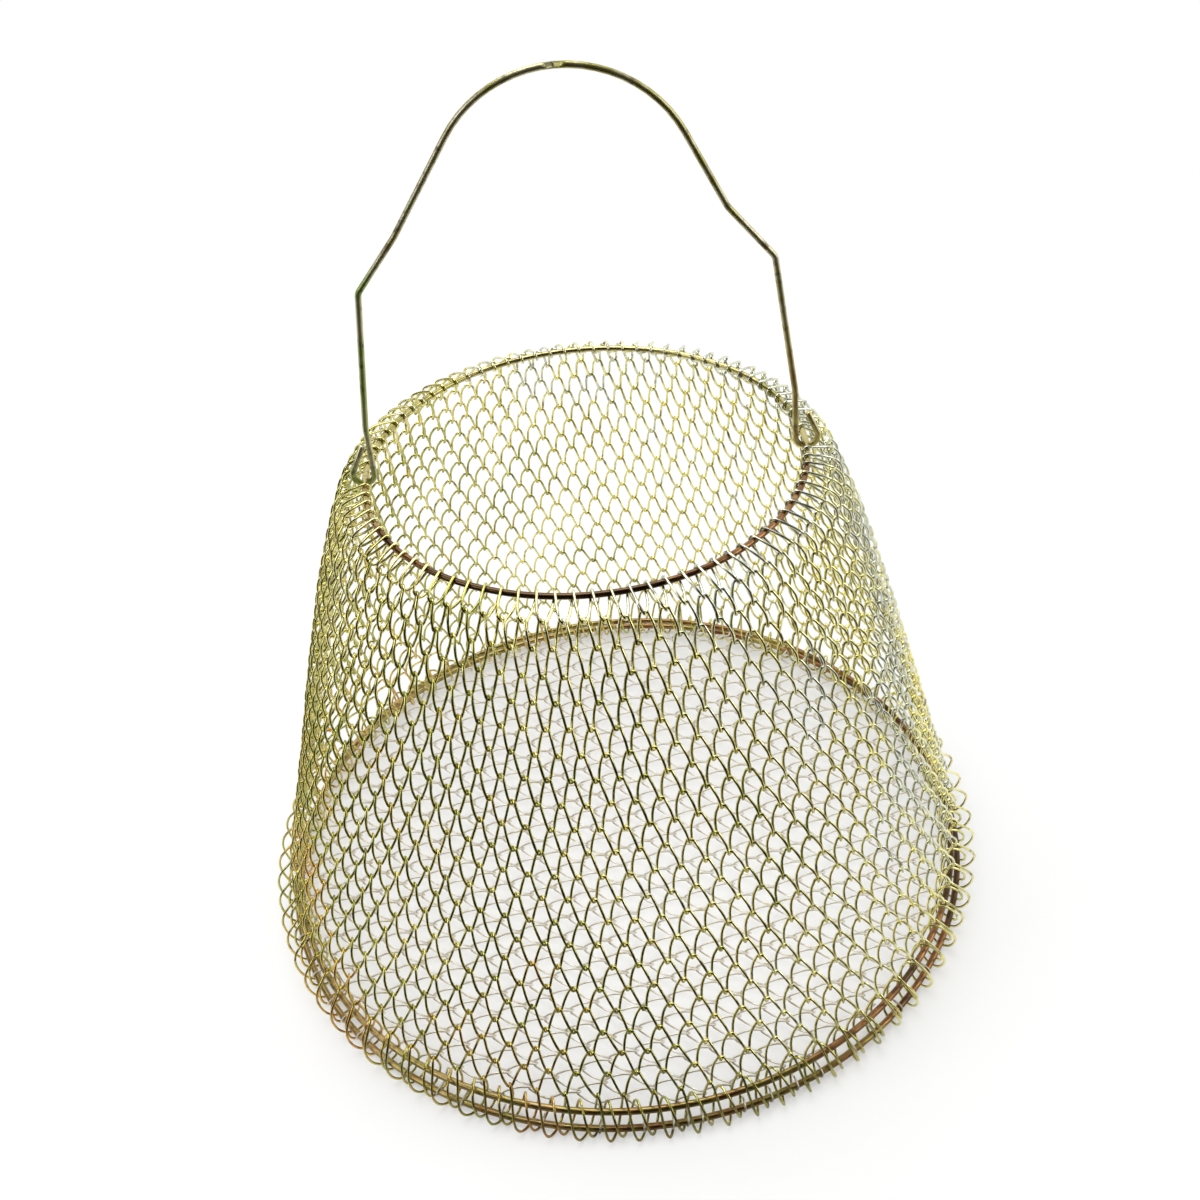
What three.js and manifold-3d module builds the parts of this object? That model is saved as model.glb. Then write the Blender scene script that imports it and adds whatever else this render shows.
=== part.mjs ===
// Collapsible wire egg basket: coiled wire rows hooked one below the other between a small top ring
// and two large base rings, a flat mesh floor, and a wire bail whose eyes hook round the top ring.
// Millimetres, +Z up, the origin on the floor under the middle of the basket, the bail's eyes on X.
import * as THREE from 'three';
import { mergeVertices } from 'three/addons/utils/BufferGeometryUtils.js';
import Module from 'manifold-3d';

// Wires
const meshWire = 1;
const topRingWire = 2.2;
const baseRingWire = 2.6;
const bailWire = 2.2;
const hookClearance = 0.3;

// Rings, by their centre lines
const topRingRadius = 78.8;
const topRingHeight = 200.5;
const lowerBaseRingRadius = 143;
const lowerBaseRingHeight = 3;
const upperBaseRingInset = 3;
const upperBaseRingHeight = 9;
const upperBaseRingRadius = lowerBaseRingRadius - upperBaseRingInset;

// Wall rows. One wave of a row here stands for two turns of the real coil.
const wallRowCount = 21;
const turnsPerRow = 84;
const turnsPerWave = 2;

// Outline of the wall between its first and last lines of hooks
const shoulderReach = 8.4;
const shoulderDrop = 3.5;
const topLeanAngle = 25.3;
const topLeanReach = 42;
const footHookOut = 0.8;
const footHookHeight = 21;
const lowLeanAngle = 17.1;
const lowLeanReach = 62.8;

// Foot row, a taller coil that holds both base rings
const footLoopReach = 6.5;
const footLoopHeight = 5;
const footInset = 1.4;
const footFlatCut = 0.5;

// Floor of the basket, straight coil rows hooked side by side, which share out the upper base ring
const floorRowCount = 29;
const floorWavesAcross = 14;
const floorTurn = -12;
const floorEdgeGap = 3.4;
const floorSideGap = 5.6;

// Bail, as heights above the top ring's centre and half widths. Its top is bent a little off centre.
const bailHeight = 140;
const bailTopHalfWidth = 24.6;
const bailTopShift = 4.5;
const bailTopBend = 43;
const bailSideBend = 12;
const bailSideHalfWidth = 53.5;
const bailSideHeight = 90;
const bailCornerHalfWidth = 68.5;
const bailCornerHeight = 71.5;
const bailCornerBend = 4.5;
const eyeLegInset = 3.4;
const eyeNeckInset = 3.6;
const eyeNeckHeight = 20;
const eyeNeckBend = 20;
const eyeCornerBend = 3.6;
const eyeOuterReach = 6.2;
const eyeTailReach = 1.4;
const eyeTailHeight = 11;

// Faceting
const meshSides = 3;
const thickSides = 6;
const ringSteps = 48;
const bendStep = 15;

const wavesPerRow = turnsPerRow / turnsPerWave;
const waveAngle = (2 * Math.PI) / wavesPerRow;
const floorRowPitch = (2 * (upperBaseRingRadius - floorSideGap)) / floorRowCount;
const floorWavePitch = (2 * upperBaseRingRadius) / floorWavesAcross;
const hookOffset = (meshWire + hookClearance) / 2;
const radians = THREE.MathUtils.degToRad;
const up = new THREE.Vector3(0, 0, 1);

// A point at a radius and an angle round the basket's axis, and a height
function around(radius, angle, height) {
  return new THREE.Vector3(radius * Math.cos(angle), radius * Math.sin(angle), height);
}

// A direction away from the basket's axis
function outward(angle) {
  return new THREE.Vector3(Math.cos(angle), Math.sin(angle), 0);
}

// A wire bent through a list of places, each with a point and the side of the wire that faces out.
// The corners are mitred, so that the wire keeps its thickness on the straight stretches.
function bentWire(places, diameter, sides, closed) {
  const count = places.length;
  const positions = [];
  const index = [];
  for (let i = 0; i < count; i += 1) {
    const here = places[i].point;
    const before = closed || i > 0 ? places[(i + count - 1) % count].point : null;
    const after = closed || i < count - 1 ? places[(i + 1) % count].point : null;
    const along = after ? after.clone().sub(here).normalize() : here.clone().sub(before).normalize();
    const arriving = before ? here.clone().sub(before).normalize() : along;
    const middle = arriving.clone().add(along).normalize();
    const bend = along.clone().sub(arriving);
    const stretch = 1 / middle.dot(along) - 1;
    const first = places[i].face.clone().addScaledVector(middle, -places[i].face.dot(middle)).normalize();
    const second = middle.clone().cross(first);
    for (let s = 0; s < sides; s += 1) {
      const turn = (2 * Math.PI * s) / sides;
      const offset = first.clone().multiplyScalar((Math.cos(turn) * diameter) / 2);
      offset.addScaledVector(second, (Math.sin(turn) * diameter) / 2);
      if (stretch > 1e-6) {
        bend.normalize();
        offset.addScaledVector(bend, offset.dot(bend) * stretch);
      }
      positions.push(here.x + offset.x, here.y + offset.y, here.z + offset.z);
    }
  }
  const spans = closed ? count : count - 1;
  for (let i = 0; i < spans; i += 1) {
    const start = i * sides;
    const end = ((i + 1) % count) * sides;
    for (let s = 0; s < sides; s += 1) {
      const next = (s + 1) % sides;
      index.push(start + s, start + next, end + next);
      index.push(start + s, end + next, end + s);
    }
  }
  if (!closed) {
    const last = (count - 1) * sides;
    for (let s = 1; s < sides - 1; s += 1) {
      index.push(0, s + 1, s);
      index.push(last, last + s, last + s + 1);
    }
  }
  const geometry = new THREE.BufferGeometry();
  geometry.setAttribute('position', new THREE.Float32BufferAttribute(positions, 3));
  geometry.setIndex(index);
  return geometry;
}

// Lines of hooks down the wall: line 1 hangs from the row on the top ring, the last is the foot row's
const firstHook = new THREE.Vector2(topRingRadius + shoulderReach, topRingHeight - shoulderDrop);
const lastHook = new THREE.Vector2(upperBaseRingRadius + footHookOut, footHookHeight);
const topLean = radians(topLeanAngle);
const lowLean = radians(lowLeanAngle);
const wallOutline = new THREE.CubicBezierCurve(
  firstHook,
  firstHook.clone().add(new THREE.Vector2(Math.sin(topLean), -Math.cos(topLean)).multiplyScalar(topLeanReach)),
  lastHook.clone().add(new THREE.Vector2(-Math.sin(lowLean), Math.cos(lowLean)).multiplyScalar(lowLeanReach)),
  lastHook,
);

function hookLine(number) {
  const place = wallOutline.getPointAt((number - 1) / (wallRowCount - 1));
  return { radius: place.x, height: place.y, shift: (number % 2) / 2 };
}

// A wall row: its upper bends lie just outside the row above, its lower bends inside the row below
function wallRow(number) {
  const above = hookLine(number - 1);
  const below = hookLine(number);
  const places = [];
  for (let wave = 0; wave < wavesPerRow; wave += 1) {
    const high = (wave + above.shift) * waveAngle;
    const low = high + waveAngle / 2;
    places.push({ point: around(above.radius + hookOffset, high, above.height), face: outward(high) });
    places.push({ point: around(below.radius - hookOffset, low, below.height), face: outward(low) });
  }
  return bentWire(places, meshWire, meshSides, true);
}

// The first row wraps over the top ring, except at the two bare places where the bail's eyes hook on
function rimRow() {
  const below = hookLine(1);
  const wrap = (topRingWire + meshWire) / 2 + hookClearance;
  const section = [
    { out: 0.3 * wrap, rise: 1.08 * wrap, turn: -1 / 6 },
    { out: -wrap, rise: 0.62 * wrap, turn: -1 / 18 },
    { out: -wrap, rise: -0.62 * wrap, turn: 1 / 18 },
    { out: 0.3 * wrap, rise: -1.08 * wrap, turn: 1 / 6 },
  ];
  const places = [];
  for (let wave = 0; wave < wavesPerRow; wave += 1) {
    const middle = wave * waveAngle;
    const bare = wave % (wavesPerRow / 2) === 0;
    if (!bare) {
      for (const step of section) {
        const angle = middle + step.turn * waveAngle;
        const face = outward(angle).multiplyScalar(step.out).addScaledVector(up, step.rise);
        places.push({ point: around(topRingRadius + step.out, angle, topRingHeight + step.rise), face });
      }
    }
    const low = middle + waveAngle / 2;
    places.push({ point: around(below.radius - hookOffset, low, below.height), face: outward(low) });
  }
  return bentWire(places, meshWire, meshSides, true);
}

// Turns a closed mesh into a solid that can be cut
const wasm = await Module();
wasm.setup();

function solidOf(geometry) {
  const plain = geometry.clone();
  plain.deleteAttribute('normal');
  plain.deleteAttribute('uv');
  const merged = mergeVertices(plain);
  const vertProperties = new Float32Array(merged.attributes.position.array);
  const triVerts = new Uint32Array(merged.index.array);
  return new wasm.Manifold(new wasm.Mesh({ numProp: 3, vertProperties, triVerts }));
}

function geometryOf(solid) {
  const mesh = solid.getMesh();
  const geometry = new THREE.BufferGeometry();
  geometry.setAttribute('position', new THREE.BufferAttribute(mesh.vertProperties, 3));
  geometry.setIndex(new THREE.BufferAttribute(mesh.triVerts, 1));
  return geometry;
}

// The foot row's loops run down outside both base rings, under the lower one and up inside them.
// Their lowest bends are worn flat where the basket stands.
function footRow() {
  const above = hookLine(wallRowCount);
  const wrap = (baseRingWire + meshWire) / 2 + hookClearance;
  const lowest = meshWire / 2 - footFlatCut;
  const section = [
    { radius: above.radius + hookOffset, height: above.height, turn: -1 / 2 },
    { radius: lowerBaseRingRadius + footLoopReach, height: footLoopHeight, turn: -1 / 5 },
    { radius: lowerBaseRingRadius + 0.7 * wrap, height: lowest, turn: -1 / 14 },
    { radius: lowerBaseRingRadius - 0.6 * wrap, height: lowest, turn: 1 / 14 },
    { radius: upperBaseRingRadius - wrap - footInset, height: upperBaseRingHeight, turn: 1 / 5 },
    { radius: above.radius + hookOffset, height: above.height - (above.height - upperBaseRingHeight) / 2, turn: 2 / 5 },
  ];
  const middleRadius = (upperBaseRingRadius + lowerBaseRingRadius) / 2;
  const middleHeight = (upperBaseRingHeight + lowerBaseRingHeight) / 2;
  const places = [];
  for (let wave = 0; wave < wavesPerRow; wave += 1) {
    const middle = (wave + above.shift + 1 / 2) * waveAngle;
    for (const step of section) {
      const angle = middle + step.turn * waveAngle;
      const face = outward(angle).multiplyScalar(step.radius - middleRadius);
      face.addScaledVector(up, step.height - middleHeight);
      places.push({ point: around(step.radius, angle, step.height), face });
    }
  }
  const depth = 10;
  const span = 4 * (lowerBaseRingRadius + footLoopReach);
  const ground = new THREE.BoxGeometry(span, span, depth).translate(0, 0, -depth / 2);
  return geometryOf(solidOf(bentWire(places, meshWire, meshSides, true)).subtract(solidOf(ground)));
}

// Where the way from a point inside a circle round the axis to one outside it crosses that circle
function crossing(inside, outside, radius) {
  const from = new THREE.Vector2(inside.x, inside.y);
  const run = new THREE.Vector2(outside.x, outside.y).sub(from);
  const along = from.dot(run) / run.lengthSq();
  const short = (from.lengthSq() - radius * radius) / run.lengthSq();
  return inside.clone().lerp(outside, Math.sqrt(along * along - short) - along);
}

// A floor row, a straight coil from edge to edge inside the foot row. Its bends on one side lie a
// little high and those on the other a little low, so that neighbours pass over each other.
function floorRow(number) {
  const edge = upperBaseRingRadius - floorEdgeGap;
  const middle = (upperBaseRingHeight + lowerBaseRingHeight) / 2;
  const centre = (number - (floorRowCount + 1) / 2) * floorRowPitch;
  const shift = (number % 2) * (floorWavePitch / 2);
  const reach = Math.ceil(edge / floorWavePitch) + 1;
  const bends = [];
  for (let half = -2 * reach; half <= 2 * reach; half += 1) {
    const side = half % 2 === 0 ? 1 : -1;
    const across = centre + (side * floorRowPitch) / 2;
    const along = shift + (half * floorWavePitch) / 2;
    bends.push(new THREE.Vector3(across, along, middle + side * hookOffset));
  }
  const within = bends.map((bend) => Math.hypot(bend.x, bend.y) < edge - meshWire);
  const first = within.indexOf(true);
  const last = within.lastIndexOf(true);
  const points = bends.slice(first, last + 1);
  points.unshift(crossing(bends[first], bends[first - 1], edge));
  points.push(crossing(bends[last], bends[last + 1], edge));
  const places = points.map((point) => ({ point, face: up }));
  const geometry = bentWire(places, meshWire, meshSides, false);
  return geometry.rotateZ(radians(floorTurn));
}

// Rounds the corners of a path in the XZ plane, each corner with its own bend radius
function roundedPath(corners) {
  const points = [];
  corners.forEach((corner, i) => {
    const here = new THREE.Vector3(corner.x, 0, corner.z);
    if (i === 0 || i === corners.length - 1) {
      points.push(here);
      return;
    }
    const arriving = here.clone().sub(new THREE.Vector3(corners[i - 1].x, 0, corners[i - 1].z)).normalize();
    const leaving = new THREE.Vector3(corners[i + 1].x, 0, corners[i + 1].z).sub(here).normalize();
    const turn = Math.acos(arriving.dot(leaving));
    const tangent = corner.bend * Math.tan(turn / 2);
    const start = here.clone().addScaledVector(arriving, -tangent);
    const inward = leaving.clone().sub(arriving).normalize();
    const centre = here.clone().addScaledVector(inward, corner.bend / Math.cos(turn / 2));
    const from = start.clone().sub(centre);
    const axis = arriving.clone().cross(leaving).normalize();
    const steps = Math.max(1, Math.ceil(turn / radians(bendStep)));
    for (let s = 0; s <= steps; s += 1) {
      points.push(from.clone().applyAxisAngle(axis, (turn * s) / steps).add(centre));
    }
  });
  return points;
}

// The bail: one wire from tail to tail, each end bent into an eye round the top ring
function bail() {
  const bar = topRingHeight - (topRingWire + bailWire) / 2 - hookClearance;
  const half = (side) => [
    { x: side * (topRingRadius + eyeTailReach), z: topRingHeight + eyeTailHeight },
    { x: side * (topRingRadius + eyeOuterReach), z: bar, bend: eyeCornerBend },
    { x: side * (topRingRadius - eyeLegInset), z: bar, bend: eyeCornerBend },
    { x: side * (topRingRadius - eyeNeckInset), z: topRingHeight + eyeNeckHeight, bend: eyeNeckBend },
    { x: side * bailCornerHalfWidth, z: topRingHeight + bailCornerHeight, bend: bailCornerBend },
    { x: side * bailSideHalfWidth, z: topRingHeight + bailSideHeight, bend: bailSideBend },
    { x: side * bailTopHalfWidth + bailTopShift, z: topRingHeight + bailHeight, bend: bailTopBend },
  ];
  const face = new THREE.Vector3(0, 1, 0);
  const places = roundedPath([...half(1), ...half(-1).reverse()]).map((point) => ({ point, face }));
  return bentWire(places, bailWire, thickSides, false);
}

function ring(radius, wire, height) {
  return new THREE.TorusGeometry(radius, wire / 2, thickSides, ringSteps).translate(0, 0, height);
}

const basket = new THREE.Group();

function addPiece(name, geometry, color, roughness) {
  const material = new THREE.MeshStandardMaterial({ color, roughness, metalness: 1 });
  const piece = new THREE.Mesh(geometry, material);
  piece.name = name;
  basket.add(piece);
}

const goldWire = 0xc2b36b;
const paleGoldWire = 0xcfc48a;
const bronzeWire = 0x7d7147;
const oliveWire = 0x9c8a3c;

function numbered(stem, number) {
  return `${stem}_${String(number).padStart(2, '0')}`;
}

addPiece('top_ring', ring(topRingRadius, topRingWire, topRingHeight), oliveWire, 0.35);
addPiece(numbered('wall_row', 1), rimRow(), goldWire, 0.38);
for (let number = 2; number <= wallRowCount; number += 1) {
  addPiece(numbered('wall_row', number), wallRow(number), number % 2 ? goldWire : paleGoldWire, 0.38);
}
addPiece('foot_row', footRow(), goldWire, 0.4);
addPiece('base_ring_upper', ring(upperBaseRingRadius, baseRingWire, upperBaseRingHeight), oliveWire, 0.4);
addPiece('base_ring_lower', ring(lowerBaseRingRadius, baseRingWire, lowerBaseRingHeight), oliveWire, 0.4);
for (let number = 1; number <= floorRowCount; number += 1) {
  addPiece(numbered('floor_row', number), floorRow(number), number % 2 ? goldWire : paleGoldWire, 0.42);
}
addPiece('bail_handle', bail(), bronzeWire, 0.3);

export default basket;
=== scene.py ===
# A collapsible wire egg basket: coils of thin plated wire, hooked row below row, hang from a small
# ring and spread to two large rings and a flat mesh floor. A bent wire bail hooks on the small ring.
# Metres, +Z up, the basket standing on z = 0 with its mouth up and the bail's eyes on X.
import math

import bpy
import numpy as np
from mathutils import Matrix, Vector


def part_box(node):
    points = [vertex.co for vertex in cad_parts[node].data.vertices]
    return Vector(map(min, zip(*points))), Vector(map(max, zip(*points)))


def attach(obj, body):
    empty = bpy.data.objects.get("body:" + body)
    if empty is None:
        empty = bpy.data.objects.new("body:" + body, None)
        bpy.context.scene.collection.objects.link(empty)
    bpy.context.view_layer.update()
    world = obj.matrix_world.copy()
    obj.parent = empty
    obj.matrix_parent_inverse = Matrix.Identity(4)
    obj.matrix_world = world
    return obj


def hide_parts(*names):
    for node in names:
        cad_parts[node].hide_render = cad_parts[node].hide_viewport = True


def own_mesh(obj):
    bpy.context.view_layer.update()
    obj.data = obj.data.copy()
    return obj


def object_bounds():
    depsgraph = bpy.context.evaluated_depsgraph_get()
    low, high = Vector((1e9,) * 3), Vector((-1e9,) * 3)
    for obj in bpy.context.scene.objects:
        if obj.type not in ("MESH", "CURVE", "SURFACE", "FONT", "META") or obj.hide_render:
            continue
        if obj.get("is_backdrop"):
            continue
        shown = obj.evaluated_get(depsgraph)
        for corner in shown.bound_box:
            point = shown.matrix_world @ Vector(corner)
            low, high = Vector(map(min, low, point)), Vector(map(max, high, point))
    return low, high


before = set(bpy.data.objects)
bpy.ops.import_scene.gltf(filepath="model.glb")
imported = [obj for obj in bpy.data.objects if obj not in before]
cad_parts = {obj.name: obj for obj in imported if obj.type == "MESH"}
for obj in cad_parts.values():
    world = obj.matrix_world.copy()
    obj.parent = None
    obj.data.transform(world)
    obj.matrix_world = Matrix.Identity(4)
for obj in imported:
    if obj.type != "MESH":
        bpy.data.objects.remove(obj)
cad_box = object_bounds()


# Base rings: two closed rings of thick wire, the lower one a little wider, that the foot row ties
# together. Each is bent from drawn steel wire, butt welded, and plated yellow with the rest.
mm = 0.001
base_ring_wire = 2.6 * mm
thick_sides = 14
end_nose = 0.35
end_taper = 0.6


def wire(name, route, thickness, sides, closed):
    """A round wire along a route of points, carried along it without twist. An open end is rounded by
    a short nose, whose length and width are shares of the wire's radius."""
    points = [Vector(p) for p in route]
    count = len(points)
    steps = range(count)
    if closed:
        tangents = [(points[(i + 1) % count] - points[i - 1]).normalized() for i in steps]
    else:
        tangents = [(points[min(i + 1, count - 1)] - points[max(i - 1, 0)]).normalized() for i in steps]
    side = tangents[0].orthogonal().normalized()
    first = side.copy()
    normals = []
    for tangent in tangents:
        side = (side - tangent * side.dot(tangent)).normalized()
        normals.append(side)
    normals = np.array(normals)
    tangents = np.array(tangents)
    crossways = np.cross(tangents, normals)
    twist = np.zeros(count)
    if closed:
        back = (side - Vector(tangents[0]) * side.dot(Vector(tangents[0]))).normalized()
        slip = math.atan2(Vector(tangents[0]).dot(first.cross(back)), first.dot(back))
        twist = -slip * np.arange(count) / count
    centres = np.array([tuple(p) for p in points])
    radii = np.broadcast_to(np.asarray(thickness) / 2, (count,)).astype(float)
    if not closed:
        nose = end_nose * radii[0]
        first_tip = centres[:1] - tangents[:1] * nose
        last_tip = centres[-1:] + tangents[-1:] * nose
        centres = np.vstack([first_tip, centres, last_tip])
        normals = np.vstack([normals[:1], normals, normals[-1:]])
        crossways = np.vstack([crossways[:1], crossways, crossways[-1:]])
        radii = np.concatenate([radii[:1] * end_taper, radii, radii[-1:] * end_taper])
        twist = np.zeros(count + 2)
        count += 2
    angles = np.linspace(0, 2 * np.pi, sides, endpoint=False)[None, :] + twist[:, None]
    across = np.cos(angles)[:, :, None] * normals[:, None, :]
    across = across + np.sin(angles)[:, :, None] * crossways[:, None, :]
    vertices = centres[:, None, :] + radii[:, None, None] * across
    spans = np.arange(count if closed else count - 1)
    start = (spans * sides)[:, None]
    end = ((spans + 1) % count * sides)[:, None]
    here = np.arange(sides)[None, :]
    beside = (here + 1) % sides
    quads = np.stack([start + here, start + beside, end + beside, end + here], axis=-1).reshape(-1, 4)
    faces = quads.tolist()
    if not closed:
        faces.append(list(range(sides))[::-1])
        faces.append([(count - 1) * sides + s for s in range(sides)])
    mesh = bpy.data.meshes.new(name)
    mesh.from_pydata(vertices.reshape(-1, 3).tolist(), [], faces)
    mesh.shade_smooth()
    piece = bpy.data.objects.new(name, mesh)
    bpy.context.scene.collection.objects.link(piece)
    return piece


class Flow:
    """What comes out of a shader node. Sums written on it add Math nodes to the same finish."""

    def __init__(self, finish, socket):
        self.finish = finish
        self.socket = socket

    def sum(self, operation, first, second):
        return self.finish.node("ShaderNodeMath", {"operation": operation}, {0: first, 1: second})

    def __add__(self, other):
        return self.sum("ADD", self, other)

    def __radd__(self, other):
        return self.sum("ADD", other, self)

    def __sub__(self, other):
        return self.sum("SUBTRACT", self, other)

    def __rsub__(self, other):
        return self.sum("SUBTRACT", other, self)

    def __mul__(self, other):
        return self.sum("MULTIPLY", self, other)

    def __rmul__(self, other):
        return self.sum("MULTIPLY", other, self)


class Finish:
    """The nodes of one finish, and the one way to add to them."""

    def __init__(self, tree):
        self.tree = tree
        tree.nodes.clear()

    def node(self, kind, settings, sockets, out=0):
        made = self.tree.nodes.new(kind)
        for key, value in settings.items():
            if key == "stops":
                ramp = made.color_ramp
                while len(ramp.elements) < len(value):
                    ramp.elements.new(1)
                for element, (position, colour) in zip(ramp.elements, value):
                    element.position = position
                    element.color = (*colour, 1)
            else:
                setattr(made, key, value)
        for key, value in sockets.items():
            if isinstance(value, Flow):
                self.tree.links.new(value.socket, made.inputs[key])
            else:
                made.inputs[key].default_value = value
        return Flow(self, made.outputs[out]) if made.outputs else made


mix_share, mix_under, mix_over, mix_colour = 0, 6, 7, 2
stain_dulls = 0.18


def plated_wire(name, tones, stain, polish, drift):
    """Yellow zinc plating on drawn wire: clouds of its tones, with stains between them. The drift says
    how far the tones move along X, Y and Z over 100 mm, a steady slide of colour across the part."""
    material = bpy.data.materials.new(name)
    material.use_nodes = True
    finish = Finish(material.node_tree)
    place = finish.node("ShaderNodeTexCoord", {}, {}, "Object")
    cloud = finish.node(
        "ShaderNodeTexNoise", {}, {"Vector": place, "Scale": 60, "Detail": 3, "Roughness": 0.6}
    )
    patch = finish.node(
        "ShaderNodeTexNoise", {}, {"Vector": place, "Scale": 16, "Detail": 1, "Roughness": 0.5}
    )
    spread = finish.node(
        "ShaderNodeMapRange",
        {},
        {"Value": cloud + patch, "From Min": 0.7, "From Max": 1.3, "To Min": 0.06, "To Max": 0.7},
    )
    per_metre = [10 * share for share in drift]
    slope = finish.node(
        "ShaderNodeVectorMath", {"operation": "DOT_PRODUCT"}, {0: place, 1: per_metre}, "Value"
    )
    tone = finish.node("ShaderNodeValToRGB", {"stops": tones}, {"Fac": spread + slope})
    speck = finish.node(
        "ShaderNodeTexNoise", {}, {"Vector": place, "Scale": 330, "Detail": 2, "Roughness": 0.5}
    )
    stained = finish.node(
        "ShaderNodeMapRange",
        {},
        {"Value": speck, "From Min": 0.54, "From Max": 0.76, "To Min": 0, "To Max": 0.8},
    )
    layers = {mix_share: stained, mix_under: tone, mix_over: (*stain, 1)}
    colour = finish.node("ShaderNodeMix", {"data_type": "RGBA"}, layers, mix_colour)
    bump = finish.node("ShaderNodeBump", {}, {"Height": speck, "Strength": 0.12, "Distance": 0.0002})
    shader = finish.node(
        "ShaderNodeBsdfPrincipled",
        {},
        {
            "Base Color": colour,
            "Roughness": polish + stain_dulls * stained,
            "Metallic": 1.0,
            "Coat Weight": 0.05,
            "Coat Roughness": 0.2,
            "Normal": bump,
        },
    )
    finish.node("ShaderNodeOutputMaterial", {}, {"Surface": shader})
    return material


olive = (0.36, 0.31, 0.10)
straw = (0.62, 0.54, 0.24)
rust = (0.34, 0.17, 0.07)
umber = (0.10, 0.06, 0.03)
bronze = (0.46, 0.33, 0.14)
moss = (0.40, 0.37, 0.11)
base_tones = [(0, bronze), (0.2, olive), (0.36, rust), (0.5, olive), (0.68, rust), (0.85, umber)]
base_plating = plated_wire("base_ring_plating", base_tones, umber, polish=0.3, drift=(0.35, 0, 0))


def place_piece(piece, body, nodes, finish):
    """Gives a piece its finish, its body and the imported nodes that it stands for."""
    piece.data.materials.append(finish)
    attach(piece, body)
    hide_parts(*nodes)


def ring_size(node, thickness):
    """The centre line's radius and height of a packed ring."""
    low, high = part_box(node)
    return (high.x - low.x - thickness) / 2, (low.z + high.z) / 2


ring_steps = 360
weld_rise = 0.16
weld_length = 0.7


def welded_ring(name, radius, height, thickness, weld_angle):
    """A ring of wire with the low lump of its butt weld, whose size follows the wire's thickness."""
    angles = np.linspace(0, 2 * np.pi, ring_steps, endpoint=False)
    away = np.abs((angles - weld_angle + np.pi) % (2 * np.pi) - np.pi) * radius
    lump = 1 + weld_rise * np.exp(-((away / (weld_length * thickness)) ** 2))
    circle = [radius * np.cos(angles), radius * np.sin(angles), np.full(angles.shape, height)]
    return wire(name, np.stack(circle, axis=-1), thickness * lump, thick_sides, closed=True)


upper_radius, upper_height = ring_size("base_ring_upper", base_ring_wire)
lower_radius, lower_height = ring_size("base_ring_lower", base_ring_wire)
upper_ring = welded_ring(
    "base_ring_upper_wire", upper_radius, upper_height, base_ring_wire, weld_angle=2.2
)
lower_ring = welded_ring(
    "base_ring_lower_wire", lower_radius, lower_height, base_ring_wire, weld_angle=1.1
)
place_piece(upper_ring, "base", ["base_ring_upper"], base_plating)
place_piece(lower_ring, "base", ["base_ring_lower"], base_plating)


# Wall rows: each a coil of thin wire pressed flat and bent round into a closed hoop of 84 turns. The
# turns hook into those of the rows above and below, half a turn on, so the wall folds down like chain.
mesh_wire = 1.0 * mm
mesh_sides = 6
row_count = 21
turns = 84
turn_angle = 2 * math.pi / turns
coil_depth = 1.9 * mm
coil_slant = 0.28
upper_bend = 1.0 * mm
lower_bend = 0.95 * mm
hook_seat = 0.6 * mm
first_hook = np.array([87.2, 197.0]) * mm
last_hook = np.array([140.8, 21.0]) * mm
top_lean = math.radians(25.3)
low_lean = math.radians(17.1)
top_pull = 42 * mm
low_pull = 62.8 * mm
hook_wander = 0.035
hook_play = 0.12 * mm
bend_steps = 4
outline_steps = 2001
strand_places = np.array([0.3, 0.5, 0.7])
strand_belly = 0.8
loose = np.random.default_rng(11)


def wall_outline(count):
    """Radius and height of the lines of hooks, evenly spaced down the wall's curve."""
    pull_out = first_hook + top_pull * np.array([math.sin(top_lean), -math.cos(top_lean)])
    pull_in = last_hook + low_pull * np.array([-math.sin(low_lean), math.cos(low_lean)])
    t = np.linspace(0, 1, outline_steps)[:, None]
    curve = (1 - t) ** 3 * first_hook + 3 * (1 - t) ** 2 * t * pull_out
    curve += 3 * (1 - t) * t**2 * pull_in + t**3 * last_hook
    length = np.concatenate([[0], np.cumsum(np.hypot(*np.diff(curve, axis=0).T))])
    stops = np.linspace(0, length[-1], count)
    return np.stack([np.interp(stops, length, curve[:, axis]) for axis in (0, 1)], axis=-1)


hook_lines = wall_outline(row_count)
hook_angles = []
hook_slack = []
for line in range(1, row_count + 1):
    even = (np.arange(turns) + (line % 2) / 2) * turn_angle
    hook_angles.append(even + loose.normal(0, hook_wander, turns) * turn_angle)
    hook_slack.append(loose.normal(0, hook_play, (turns, 2)))


def half_turn(advance, drop, bend):
    """From the crest of a bend to that of the next: shares of the advance, the drop and the depth."""
    span = math.hypot(advance, drop - 2 * bend)
    lean = math.atan2(advance, drop - 2 * bend) - math.asin(2 * bend / span)
    turn = np.linspace(0, math.pi / 2 - lean, bend_steps)
    leave = bend * np.sin(turn)
    fall = bend * (1 - np.cos(turn))
    strand_advances = leave[-1] + (advance - 2 * leave[-1]) * strand_places
    strand_drops = fall[-1] + (drop - 2 * fall[-1]) * strand_places
    advances = np.concatenate([leave, strand_advances, advance - leave[:0:-1]])
    drops = np.concatenate([fall, strand_drops, drop - fall[:0:-1]])
    length = np.concatenate([[0], np.cumsum(np.hypot(np.diff(advances), np.diff(drops)))])
    last = np.hypot(leave[1] - leave[0], fall[1] - fall[0])
    depths = np.sin(math.pi * length / (length[-1] + last)) ** strand_belly
    return advances / advance, drops / drop, depths


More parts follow.
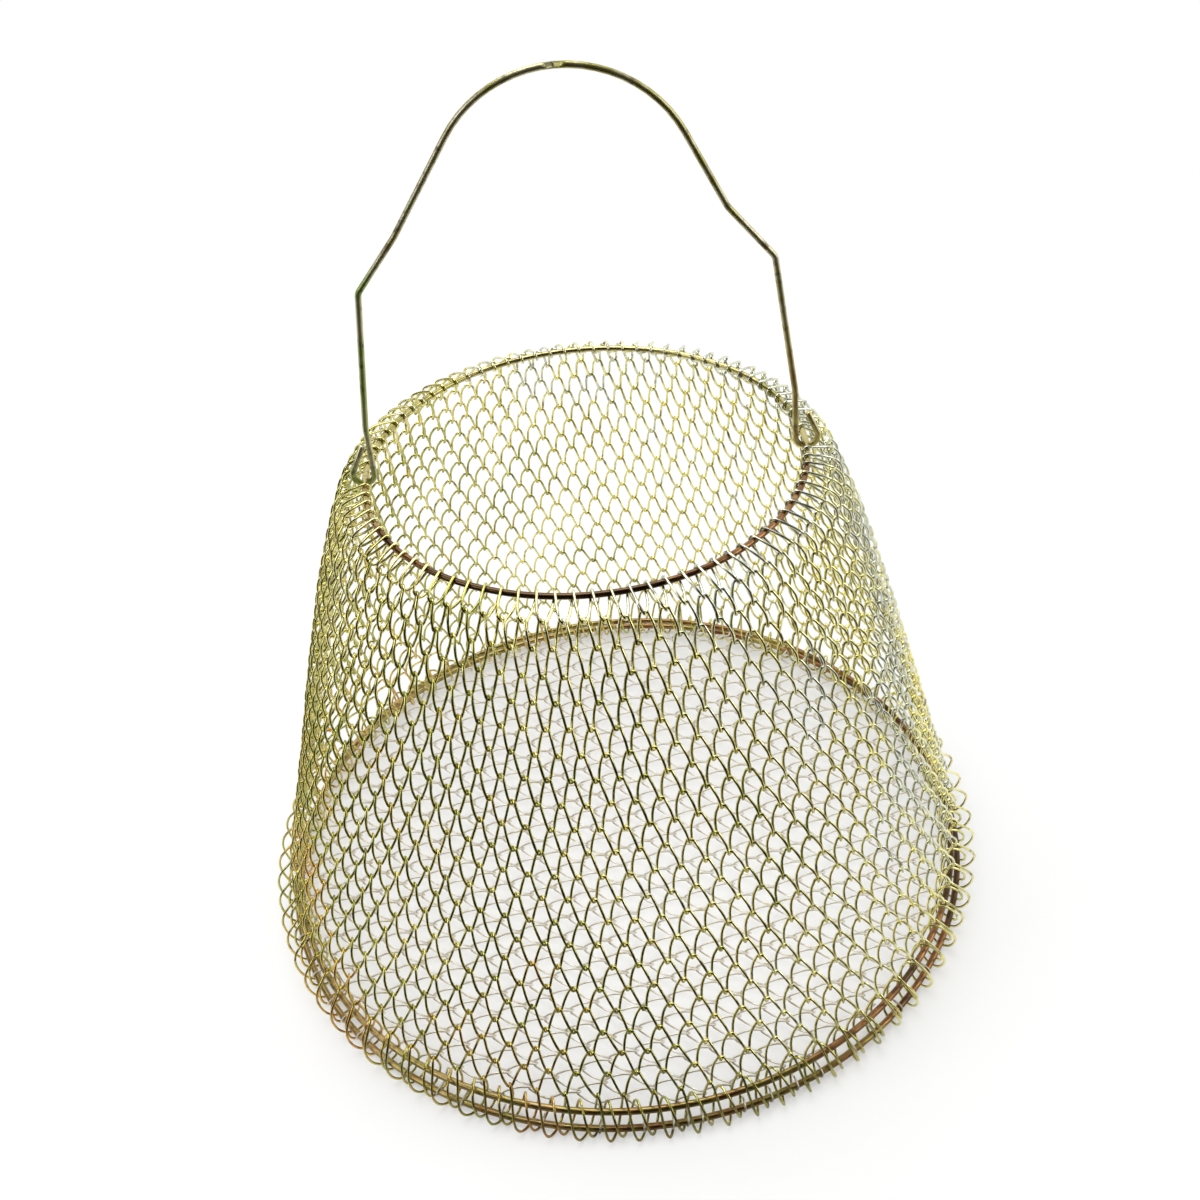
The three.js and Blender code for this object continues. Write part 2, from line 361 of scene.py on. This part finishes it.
def coil_route(crests, troughs, advance, drop, bend):
    """A flat coil from crest to trough in front and back up behind. Crests and troughs hold an angle,
    a radius and a height; the depth runs square to the fall, and slants a little along the coil."""
    advances, drops, depths = half_turn(advance, drop, bend)
    route = []
    for half, (starts, ends) in enumerate(((crests, troughs), (troughs, np.roll(crests, -1, axis=0)))):
        ends = ends.copy()
        if half == 1:
            ends[-1, 0] += 2 * math.pi
        side = 1 if half == 0 else -1
        along = starts[:, None, 0] + (ends - starts)[:, None, 0] * advances
        place = starts[:, None, 1:] + (ends - starts)[:, None, 1:] * drops[None, :, None]
        along = along + coil_slant * side * coil_depth * depths / place[:, :, 0]
        down = (ends - starts)[:, 1:] * side
        down = down / np.linalg.norm(down, axis=1, keepdims=True)
        outward = np.stack([-down[:, 1], down[:, 0]], axis=-1)
        place = place + outward[:, None, :] * (side * coil_depth * depths)[None, :, None]
        route.append(np.concatenate([along[:, :, None], place], axis=-1))
    return np.concatenate(route, axis=1).reshape(-1, 3)


def wrapped(route):
    """Angle, radius and height as points round the basket's axis."""
    angle, radius, height = route.T
    return np.stack([radius * np.cos(angle), radius * np.sin(angle), height], axis=-1)


amber = (0.72, 0.44, 0.14)
gold = (0.76, 0.61, 0.17)
leaf = (0.50, 0.51, 0.14)
cream = (0.88, 0.80, 0.31)
ivory = (0.96, 0.92, 0.46)
ash = (0.76, 0.78, 0.64)
wall_tones = [(0, amber), (0.12, gold), (0.36, leaf), (0.56, cream), (0.72, ivory), (0.92, ash)]
# The wall's tones run paler and less saturated towards +X and upwards, and amber low on the -X side.
wall_plating = plated_wire("wall_plating", wall_tones, umber, polish=0.14, drift=(0.22, 0.04, 0.16))

for row in range(2, row_count + 1):
    upper = hook_lines[row - 2]
    lower = hook_lines[row - 1]
    down = (lower - upper) / np.linalg.norm(lower - upper)
    crests = np.column_stack([hook_angles[row - 2], upper + hook_slack[row - 2] - down * hook_seat])
    troughs = np.column_stack([hook_angles[row - 1], lower + hook_slack[row - 1] + down * hook_seat])
    if troughs[0, 0] < crests[0, 0]:
        troughs = np.roll(troughs, -1, axis=0)
        troughs[-1, 0] += 2 * math.pi
    middle = (upper[0] + lower[0]) / 2
    advance = middle * turn_angle / 2
    drop = np.linalg.norm(lower - upper) + 2 * hook_seat
    bend = upper_bend + (lower_bend - upper_bend) * (row - 2) / (row_count - 2)
    route = wrapped(coil_route(crests, troughs, advance, drop, bend))
    coil = wire(f"wall_coil_{row:02d}", route, mesh_wire, mesh_sides, closed=True)
    place_piece(coil, f"wall_{row:02d}", [f"wall_row_{row:02d}"], wall_plating)
    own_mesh(coil)


# Foot row: a taller coil that hooks on the last wall row and runs round both base rings. The basket
# stands on the lowest bends of its 84 loops, which sag in front and are drawn up elsewhere.
sag_sharpness = 4
loop_play = 0.12 * mm
loose_height = 10 * mm
loose_reach = 9 * mm
coil_steps = 2
# Each row: the share of a turn, the radius and the height, in mm.
front_section = np.array([
    [0.00, 140.65, 21.6],
    [0.08, 142.5, 19.0],
    [0.15, 144.6, 13.2],
    [0.21, 146.6, 8.0],
    [0.27, 147.8, 5.2],
    [0.33, 148.1, 3.4],
    [0.40, 147.4, 1.7],
    [0.48, 145.4, 0.70],
    [0.58, 142.6, 0.58],
    [0.68, 139.4, 1.6],
    [0.77, 137.5, 5.4],
    [0.86, 137.2, 10.4],
    [0.93, 138.7, 16.4],
]) * np.array([1, mm, mm])
side_section = front_section.copy()
side_section[1:8, 1:] = np.array([
    [142.9, 20.2],
    [145.6, 18.0],
    [148.0, 15.5],
    [149.1, 13.0],
    [149.3, 10.6],
    [148.5, 6.6],
    [146.2, 2.4],
]) * mm


def smooth_route(points, steps, closed):
    """A Catmull-Rom curve through points, with the given steps between each two."""
    if closed:
        before = np.roll(points, 1, axis=0)
        after = np.roll(points, -1, axis=0)
        later = np.roll(points, -2, axis=0)
        here = points
    else:
        padded = np.vstack([2 * points[0] - points[1], points, 2 * points[-1] - points[-2]])
        before, here, after, later = padded[:-3], padded[1:-2], padded[2:-1], padded[3:]
    t = (np.arange(steps) / steps)[None, :, None]
    before, here, after, later = (a[:, None, :] for a in (before, here, after, later))
    curve = 2 * here + (after - before) * t + (2 * before - 5 * here + 4 * after - later) * t**2
    curve = (curve + (3 * here - before - 3 * after + later) * t**3) / 2
    curve = curve.reshape(-1, points.shape[1])
    return curve if closed else np.vstack([curve, points[-1:]])


foot_hooks = hook_angles[row_count - 1]
foot_points = []
for turn in range(turns):
    begin = foot_hooks[turn]
    finish_angle = foot_hooks[(turn + 1) % turns] + (2 * math.pi if turn == turns - 1 else 0)
    stray = loose.normal(0, loop_play)
    sag = max(0.0, -math.sin(begin)) ** sag_sharpness
    for share, radius, height in side_section + sag * (front_section - side_section):
        lift = max(0.0, 1 - abs(height - loose_height) / loose_reach)
        foot_points.append([begin + (finish_angle - begin) * share, radius + stray * lift, height])
foot_route = smooth_route(wrapped(np.array(foot_points)), coil_steps, closed=True)
foot_coil = wire("foot_coil", foot_route, mesh_wire, mesh_sides, closed=True)
foot_tones = [(0, amber), (0.2, gold), (0.4, leaf), (0.6, cream), (0.8, ivory)]
foot_plating = plated_wire("foot_plating", foot_tones, umber, polish=0.16, drift=(0.16, 0, 0))
place_piece(foot_coil, "base", ["foot_row"], foot_plating)


# Edging: a smaller coil of the same wire, wound close round both base rings to hold them together, its
# 84 turns set between the foot row's loops.
# Each row: the share of a turn, the radius and the height, in mm.
edging_section = np.array([
    [0.36, 136.5, 10.4],
    [0.46, 138.0, 12.5],
    [0.56, 141.0, 12.3],
    [0.65, 143.8, 10.6],
    [0.73, 145.6, 7.8],
    [0.81, 146.3, 4.6],
    [0.89, 145.8, 2.1],
    [0.97, 143.9, 0.75],
    [1.07, 140.8, 0.95],
    [1.17, 138.0, 3.0],
    [1.27, 136.4, 6.6],
]) * np.array([1, mm, mm])
edging_points = []
for turn in range(turns):
    for share, radius, height in edging_section:
        angle = foot_hooks[0] + (turn + share) * turn_angle
        edging_points.append([angle, radius, height])
edging_route = smooth_route(wrapped(np.array(edging_points)), coil_steps, closed=True)
edging = wire("edging_coil", edging_route, mesh_wire, mesh_sides, closed=True)
edging.data.materials.append(foot_plating)
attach(edging, "base")


# Floor rows: straight flat coils of a slightly thinner wire, hooked side by side into a flat round net
# whose rows end in small hooks round the lower base ring.
floor_wire = 0.8 * mm
floor_count = 29
floor_side_gap = 5.6 * mm
floor_edge_gap = 3.4 * mm
wire_clearance = 0.1 * mm
loop_gap = 0.12 * turn_angle
hook_steps = 3
floor_pitch = 2 * (upper_radius - floor_side_gap) / floor_count
floor_turn_pitch = 10 * mm
floor_turned = math.radians(-12)
floor_height = (upper_height + lower_height) / 2
floor_edge = upper_radius - floor_edge_gap
hook_grip = (base_ring_wire + floor_wire) / 2 + wire_clearance
milk = (0.86, 0.84, 0.78)
shell = (0.86, 0.80, 0.72)
floor_tones = [(0, milk), (0.4, shell), (0.6, milk), (1, shell)]
floor_plating = plated_wire("floor_plating", floor_tones, straw, polish=0.4, drift=(0, 0, 0))


def floor_route(number):
    """One floor row in its own frame, X across the rows and Y along them."""
    across = (number - (floor_count + 1) / 2) * floor_pitch
    half = floor_turn_pitch / 2
    turns_out = math.ceil(floor_edge / floor_turn_pitch) + 1
    first = -turns_out * floor_turn_pitch + (number % 2) * half
    advances, drops, depths = half_turn(half, floor_pitch + 2 * hook_seat, lower_bend)
    points = []
    for step in range(4 * turns_out):
        side = 1 if step % 2 == 0 else -1
        start = np.array([across - side * (floor_pitch / 2 + hook_seat), first + step * half])
        run = np.array([side * (floor_pitch + 2 * hook_seat), half])
        flat = start + run * np.column_stack([drops, advances])
        points.append(np.column_stack([flat, floor_height + side * coil_depth * depths]))
    points = np.vstack(points)
    inside = np.hypot(points[:, 0], points[:, 1]) < floor_edge
    return points[inside]


def end_hook(last, going):
    """From a row's last point out to the lower base ring and round it, between two loops of wire. Each
    row of the section is a radius, a height and a distance along the ring."""
    gap = turn_angle / 2
    between_loops = loop_gap - floor_turned
    angle = round((math.atan2(last[1], last[0]) - between_loops) / gap) * gap + between_loops
    section = np.array([
        [lower_radius - 3.6 * mm, lower_height + hook_grip + 0.4 * mm, 0],
        [lower_radius, lower_height + hook_grip, 0.2 * mm],
        [lower_radius + hook_grip, lower_height + 0.2 * mm, 0.5 * mm],
        [lower_radius + 0.2 * mm, lower_height - hook_grip, 0.9 * mm],
        [lower_radius - hook_grip, lower_height - 0.6 * mm, 1.2 * mm],
    ])
    angles = angle + going * section[:, 2] / lower_radius
    return wrapped(np.column_stack([angles, section[:, 0], section[:, 1]]))


turned = np.array(Matrix.Rotation(floor_turned, 3, "Z"))
for number in range(1, floor_count + 1):
    row_points = floor_route(number)
    near = end_hook(row_points[0], -1)
    far = end_hook(row_points[-1], 1)
    near_route = smooth_route(np.vstack([near[::-1], row_points[:1]]), hook_steps, closed=False)
    far_route = smooth_route(np.vstack([row_points[-1:], far]), hook_steps, closed=False)
    route = np.vstack([near_route[:-1], row_points, far_route[1:]]) @ turned.T
    coil = wire(f"floor_coil_{number:02d}", route, floor_wire, mesh_sides, closed=False)
    place_piece(coil, "base", [f"floor_row_{number:02d}"], floor_plating)


# Top ring and the first row: a smaller welded ring, and a coil wound over it turn by turn. One turn is
# left out at each eye of the bail, and its swing pushes the turns beside it along the bare ring.
top_ring_wire = 2.2 * mm
top_radius, top_height = ring_size("top_ring", top_ring_wire)
# The top ring's tones slide along Y, from umber and rust at the front to straw and moss at the back.
# This is partly the plating's own colour and partly painted shade for the dark that the front of the
# ring mirrors.
rim_tones_and_front_shade = [(0, umber), (0.25, rust), (0.42, straw), (0.75, moss), (1, straw)]
rim_plating_and_front_shade = plated_wire("top_ring_plating_and_front_shade", rim_tones_and_front_shade, umber, polish=0.26, drift=(0, 0.7, 0))
top_ring = welded_ring("top_ring_wire", top_radius, top_height, top_ring_wire, weld_angle=0.6)
place_piece(top_ring, "rim", ["top_ring"], rim_plating_and_front_shade)

wrap_grip = (top_ring_wire + mesh_wire) / 2 + wire_clearance
short_turn = 7.0 * mm
short_rise = 0.9 * mm
ring_centre = np.array([top_radius, top_height])
shoulder = hook_lines[0] - ring_centre
shoulder_length = np.linalg.norm(shoulder)
shoulder = shoulder / shoulder_length
shoulder_face = np.array([-shoulder[1], shoulder[0]])
reach = shoulder_length + hook_seat
# Each row: the share of a turn, the way out from the ring along the shoulder, and the depth across it.
hooked_part = [
    (0.33, 0.84 * reach, coil_depth),
    (0.42, 0.965 * reach, 0.7 * coil_depth),
    (0.50, reach, 0.0),
    (0.58, 0.965 * reach, -0.7 * coil_depth),
    (0.67, 0.84 * reach, -coil_depth),
]
wrap_section = [
    (-0.16, 0.50 * reach, -coil_depth),
    (-0.09, 0.10 * reach, -wrap_grip),
    (-0.05, -0.72 * wrap_grip, -0.70 * wrap_grip),
    (0.00, -wrap_grip, 0.05 * wrap_grip),
    (0.05, -0.62 * wrap_grip, 0.79 * wrap_grip),
    (0.10, 0.10 * reach, wrap_grip),
    (0.21, 0.50 * reach, 1.1 * coil_depth),
] + hooked_part
short_section = [
    (-0.18, short_turn + short_rise, -0.6 * coil_depth),
    (0.00, short_turn, 0.0),
    (0.18, short_turn + short_rise, 0.6 * coil_depth),
] + hooked_part
# The turns beside an eye, and the share of a turn that each is pushed along the ring.
eye_turns = turns // 2
pushed_aside = {eye_turns - 2: -0.18, eye_turns - 1: -0.38, 1: 0.17, 2: 0.08}
rim_points = []
for turn in range(turns):
    from_eye = turn % eye_turns
    section = short_section if from_eye == 0 else wrap_section
    for share, out, face in section:
        held = np.clip(out / reach, 0, 1)
        slack = hook_slack[0][turn] * held
        drift = (hook_angles[0][turn] - (turn + 0.5) * turn_angle) * held
        drift += pushed_aside.get(from_eye, 0) * turn_angle * (1 - held)
        place = ring_centre + shoulder * out + shoulder_face * face + slack
        rim_points.append([(turn + share) * turn_angle + drift, place[0], place[1]])
rim_route = smooth_route(wrapped(np.array(rim_points)), coil_steps, closed=True)
rim_coil = wire("wall_coil_01", rim_route, mesh_wire, mesh_sides, closed=True)
place_piece(rim_coil, "rim", ["wall_row_01"], wall_plating)
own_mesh(rim_coil)


# Bail: one wire bent by hand over a form, with a round top, two set-in shoulders, and an open eye
# turned up at each end round the top ring.
bail_wire = 2.2 * mm
lead = (0.66, 0.62, 0.42)
verdigris = (0.38, 0.48, 0.16)
bail_tones = [(0, verdigris), (0.2, lead), (0.5, moss), (0.65, lead), (0.8, straw), (0.95, bronze)]
bail_plating = plated_wire("bail_plating", bail_tones, umber, polish=0.42, drift=(0.45, 0, 0))
eye_play = 0.3 * mm
bail_bar = -(top_ring_wire + bail_wire) / 2 - eye_play
bail_top_shift = 4.5 * mm
bend_step = math.radians(6)


def bail_corners(side, tail_out, tail_up):
    """The corners of one half, from the tail of its eye up to the top: X, height and bend radius."""
    return [
        (side * (top_radius + tail_out), tail_up, 0),
        (side * (top_radius + 6.2 * mm), bail_bar, 3.6 * mm),
        (side * (top_radius - 3.4 * mm), bail_bar, 3.6 * mm),
        (side * (top_radius - 3.6 * mm), 20 * mm, 20 * mm),
        (side * 68.5 * mm, 71.5 * mm, 4.5 * mm),
        (side * 53.5 * mm, 90 * mm, 12 * mm),
        (side * 24.6 * mm + bail_top_shift, 139.8 * mm, 43 * mm),
    ]


def rounded_route(corners, step):
    """A path in the XZ plane through corners, each an X, a Z and the radius that it is bent to."""
    places = [Vector((x, 0, z)) for x, z, bend in corners]
    route = [places[0]]
    for before, here, after, (x, z, bend) in zip(places, places[1:], places[2:], corners[1:]):
        arriving = (here - before).normalized()
        leaving = (after - here).normalized()
        turn = arriving.angle(leaving)
        inward = (leaving - arriving).normalized()
        centre = here + inward * bend / math.cos(turn / 2)
        spoke = here - arriving * bend * math.tan(turn / 2) - centre
        axis = arriving.cross(leaving)
        count = max(2, math.ceil(turn / step))
        for k in range(count + 1):
            route.append(Matrix.Rotation(turn * k / count, 3, axis) @ spoke + centre)
    route.append(places[-1])
    return route


right_half = bail_corners(1, tail_out=0.9 * mm, tail_up=10.8 * mm)
left_half = bail_corners(-1, tail_out=-1.0 * mm, tail_up=12.8 * mm)
bail_path = rounded_route(right_half + left_half[::-1], bend_step)
bail_route = [p + Vector((0, 0, top_height)) for p in bail_path]
bail = wire("bail_wire", bail_route, bail_wire, thick_sides, closed=False)
place_piece(bail, "bail", ["bail_handle"], bail_plating)


# Studio: a white floor with the basket's soft shadow, a white surround whose front the shiny wires
# mirror as dark, and soft lamps overhead and to the sides. Nothing here belongs to the basket.
floor_mesh = bpy.data.meshes.new("studio_floor")
floor_half = 4.0
floor_signs = [(-1, -1), (1, -1), (1, 1), (-1, 1)]
floor_corners = [(floor_half * x, floor_half * y, 0) for x, y in floor_signs]
floor_mesh.from_pydata(floor_corners, [], [(0, 1, 2, 3)])
studio_floor = bpy.data.objects.new("studio_floor", floor_mesh)
bpy.context.scene.collection.objects.link(studio_floor)
studio_floor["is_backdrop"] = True
floor_white = bpy.data.materials.new("studio_floor_white")
floor_white.use_nodes = True
finish = Finish(floor_white.node_tree)
paint = finish.node("ShaderNodeBsdfDiffuse", {}, {"Color": (0.9, 0.9, 0.9, 1)})
glow = finish.node("ShaderNodeEmission", {}, {"Color": (1, 1, 1, 1), "Strength": 1.0})
seen = finish.node("ShaderNodeLightPath", {}, {}, "Is Camera Ray")
mirrored_ray = finish.node("ShaderNodeLightPath", {}, {}, "Is Glossy Ray")
through_ray = finish.node("ShaderNodeLightPath", {}, {}, "Is Transmission Ray")
glow_share = 0.36
floor_place = finish.node("ShaderNodeNewGeometry", {}, {}, "Position")
distance = finish.node("ShaderNodeVectorMath", {"operation": "LENGTH"}, {0: floor_place}, "Value")
far_glow = finish.node(
    "ShaderNodeMapRange",
    {"interpolation_type": "SMOOTHSTEP"},
    {"Value": distance, "From Min": 0.3, "From Max": 0.8, "To Min": glow_share, "To Max": 1},
)
spot = finish.node("ShaderNodeSeparateXYZ", {}, {0: floor_place}, "Y")
towards_back = finish.node(
    "ShaderNodeMapRange",
    {"interpolation_type": "SMOOTHSTEP"},
    {"Value": spot, "From Min": -0.2, "From Max": -0.08, "To Min": 0, "To Max": 1},
)
# Painted reflection: mirrored rays see the floor dark in front of the basket, though the camera sees it
# white.
dark_front = finish.node("ShaderNodeEmission", {}, {"Color": (0.014, 0.012, 0.01, 1), "Strength": 1.0})
glow_part = (seen + mirrored_ray + through_ray) * far_glow
surface = finish.node("ShaderNodeMixShader", {}, {0: glow_part, 1: paint, 2: glow})
dark_part = mirrored_ray * (1 - towards_back)
surface = finish.node("ShaderNodeMixShader", {}, {0: dark_part, 1: surface, 2: dark_front})
finish.node("ShaderNodeOutputMaterial", {}, {"Surface": surface})
floor_mesh.materials.append(floor_white)

world = bpy.data.worlds.new("studio_surround")
world.use_nodes = True
bpy.context.scene.world = world
finish = Finish(world.node_tree)
ambient = 0.55
front_dark = 0.985
dark_heading = (-0.42, -0.79, 0.44)
seen = finish.node("ShaderNodeLightPath", {}, {}, "Is Camera Ray")
mirrored_ray = finish.node("ShaderNodeLightPath", {}, {}, "Is Glossy Ray")
through_ray = finish.node("ShaderNodeLightPath", {}, {}, "Is Transmission Ray")
heading = finish.node("ShaderNodeTexCoord", {}, {}, "Generated")
frontness = finish.node(
    "ShaderNodeVectorMath", {"operation": "DOT_PRODUCT"}, {0: heading, 1: dark_heading}, "Value"
)
dimmed = finish.node(
    "ShaderNodeMapRange",
    {"interpolation_type": "SMOOTHSTEP"},
    {"Value": frontness, "From Min": -0.15, "From Max": 0.22, "To Min": 0, "To Max": front_dark},
)
plain = seen + through_ray
strength = plain + mirrored_ray * (1 - dimmed) + (1 - plain - mirrored_ray) * ambient
surround = finish.node("ShaderNodeBackground", {}, {"Color": (1, 1, 1, 1), "Strength": strength})
finish.node("ShaderNodeOutputWorld", {}, {"Surface": surround})


def soft_lamp(name, place, aim, size, power):
    """A square area lamp that faces a point."""
    lamp = bpy.data.lights.new(name, "AREA")
    lamp.size = size
    lamp.energy = power
    holder = bpy.data.objects.new(name, lamp)
    holder.location = place
    holder.rotation_euler = (Vector(aim) - Vector(place)).to_track_quat("-Z", "Y").to_euler()
    bpy.context.scene.collection.objects.link(holder)


basket_middle = (0, 0, 0.12)
soft_lamp("overhead_lamp", (-0.2, 0.35, 1.5), basket_middle, size=1.1, power=14)
soft_lamp("left_lamp", (-1.3, -0.5, 0.9), basket_middle, size=0.8, power=6)
soft_lamp("right_lamp", (1.3, -0.2, 0.8), basket_middle, size=0.8, power=5)

# Camera: above the rim in front, tilted a little, as the basket was photographed.
camera_place = Vector((0.0125, -0.4469, 0.4913))
camera_yaw = math.radians(-1.56)
camera_pitch = math.radians(38.52)
camera_roll = math.radians(-5.81)
ahead = Vector((
    math.sin(camera_yaw) * math.cos(camera_pitch),
    math.cos(camera_yaw) * math.cos(camera_pitch),
    -math.sin(camera_pitch),
))
level = ahead.cross(Vector((0, 0, 1))).normalized()
upward = level.cross(ahead)
camera_x = level * math.cos(camera_roll) + upward * math.sin(camera_roll)
camera_y = -level * math.sin(camera_roll) + upward * math.cos(camera_roll)
camera_data = bpy.data.cameras.new("camera")
camera_data.sensor_width = 36
camera_data.lens = 44.64
camera = bpy.data.objects.new("camera", camera_data)
turn_matrix = Matrix((camera_x, camera_y, -ahead)).transposed()
camera.matrix_world = Matrix.Translation(camera_place) @ turn_matrix.to_4x4()
bpy.context.scene.collection.objects.link(camera)
bpy.context.scene.camera = camera
bpy.context.scene.view_settings.view_transform = "Standard"


boxes = {"cad": cad_box, "visual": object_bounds()}
plain = {name: [[round(v, 6) for v in corner] for corner in box] for name, box in boxes.items()}
